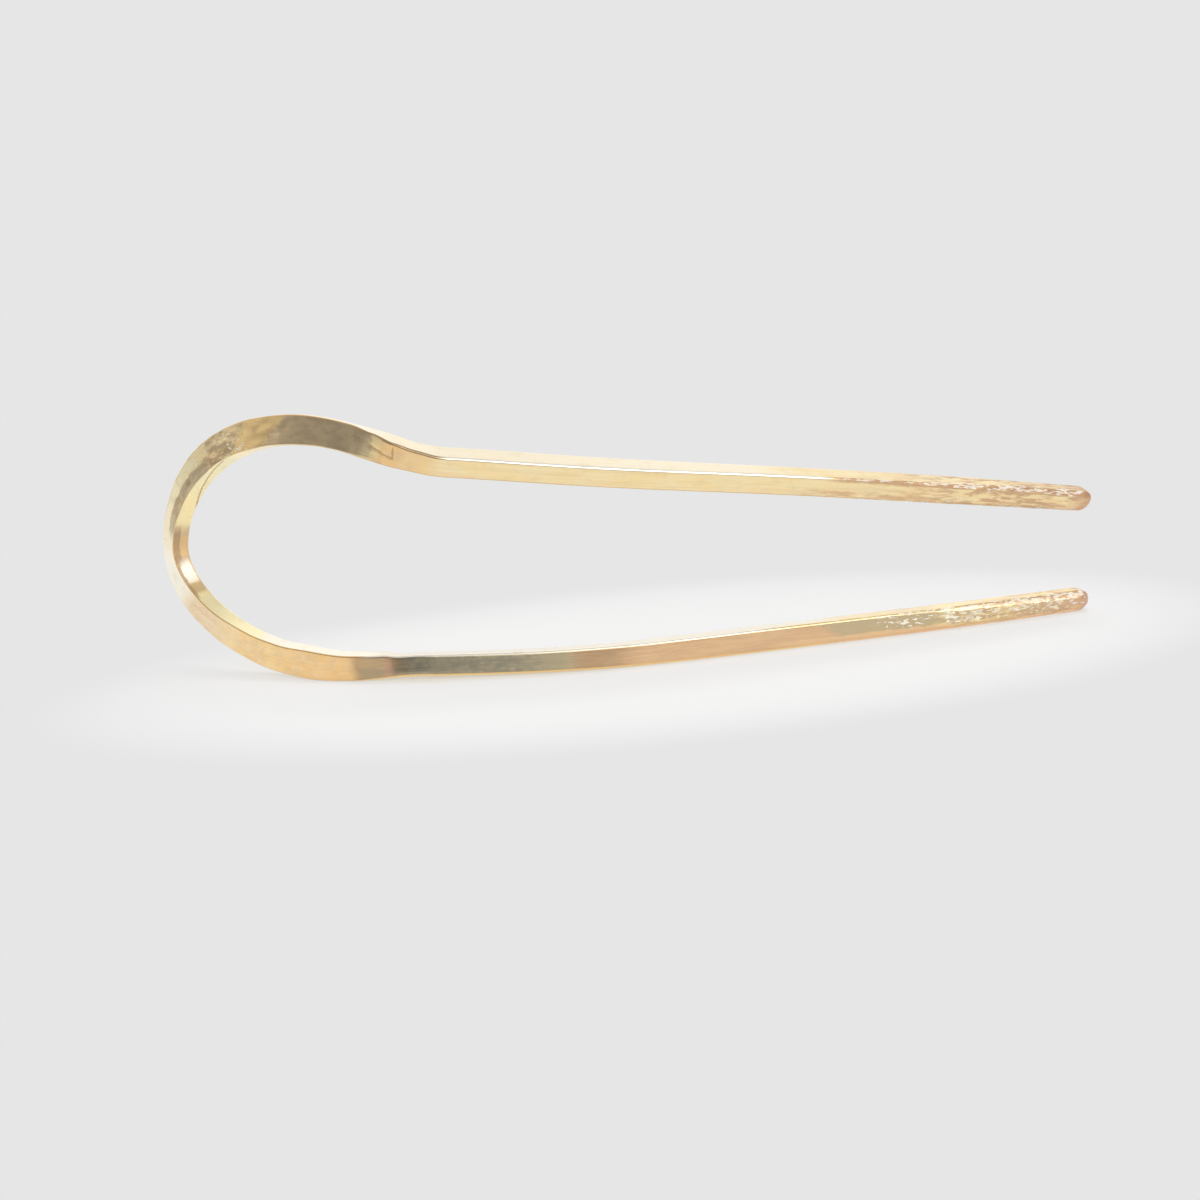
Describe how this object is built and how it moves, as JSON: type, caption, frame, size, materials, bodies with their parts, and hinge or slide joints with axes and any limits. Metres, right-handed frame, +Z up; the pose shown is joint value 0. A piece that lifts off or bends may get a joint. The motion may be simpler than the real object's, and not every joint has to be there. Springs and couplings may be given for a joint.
{
  "type": "hairpin",
  "caption": "U-shaped hair fork of square brass wire: a hammered oval bow bent back at the shoulders, and springy converging prongs with filed round tips.",
  "frame": {"origin": "middle of the bounding box on the table that the fork stands on, edge up, as in the picture", "axes": "+X along the lower prong towards its tip, +Z up from the lower prong to the upper one, -Y out of the fork's front"},
  "size_m": [0.1346, 0.0302, 0.0361],
  "materials": {
    "brass": "hand-hammered and polished, with warm tarnish"
  },
  "bodies": {
    "bow": {"bow": "brass"},
    "upper_prong": {"upper_prong": "brass"},
    "lower_prong": {"lower_prong": "brass"}
  },
  "joints": [
    {"name": "upper_prong_flex", "type": "hinge", "parent": "bow", "child": "upper_prong", "pos_m": [-0.03439, -0.00895, 0.02976], "axis": [-0.2416, -0.968, -0.0684], "range_deg": [-2.5, 4], "stiffness_Nm_per_rad": 8},
    {"name": "lower_prong_flex", "type": "hinge", "parent": "bow", "child": "lower_prong", "pos_m": [-0.03588, -0.00661, 0.0019], "axis": [0.2416, 0.968, 0.0684], "range_deg": [-2.5, 4], "stiffness_Nm_per_rad": 8}
  ]
}
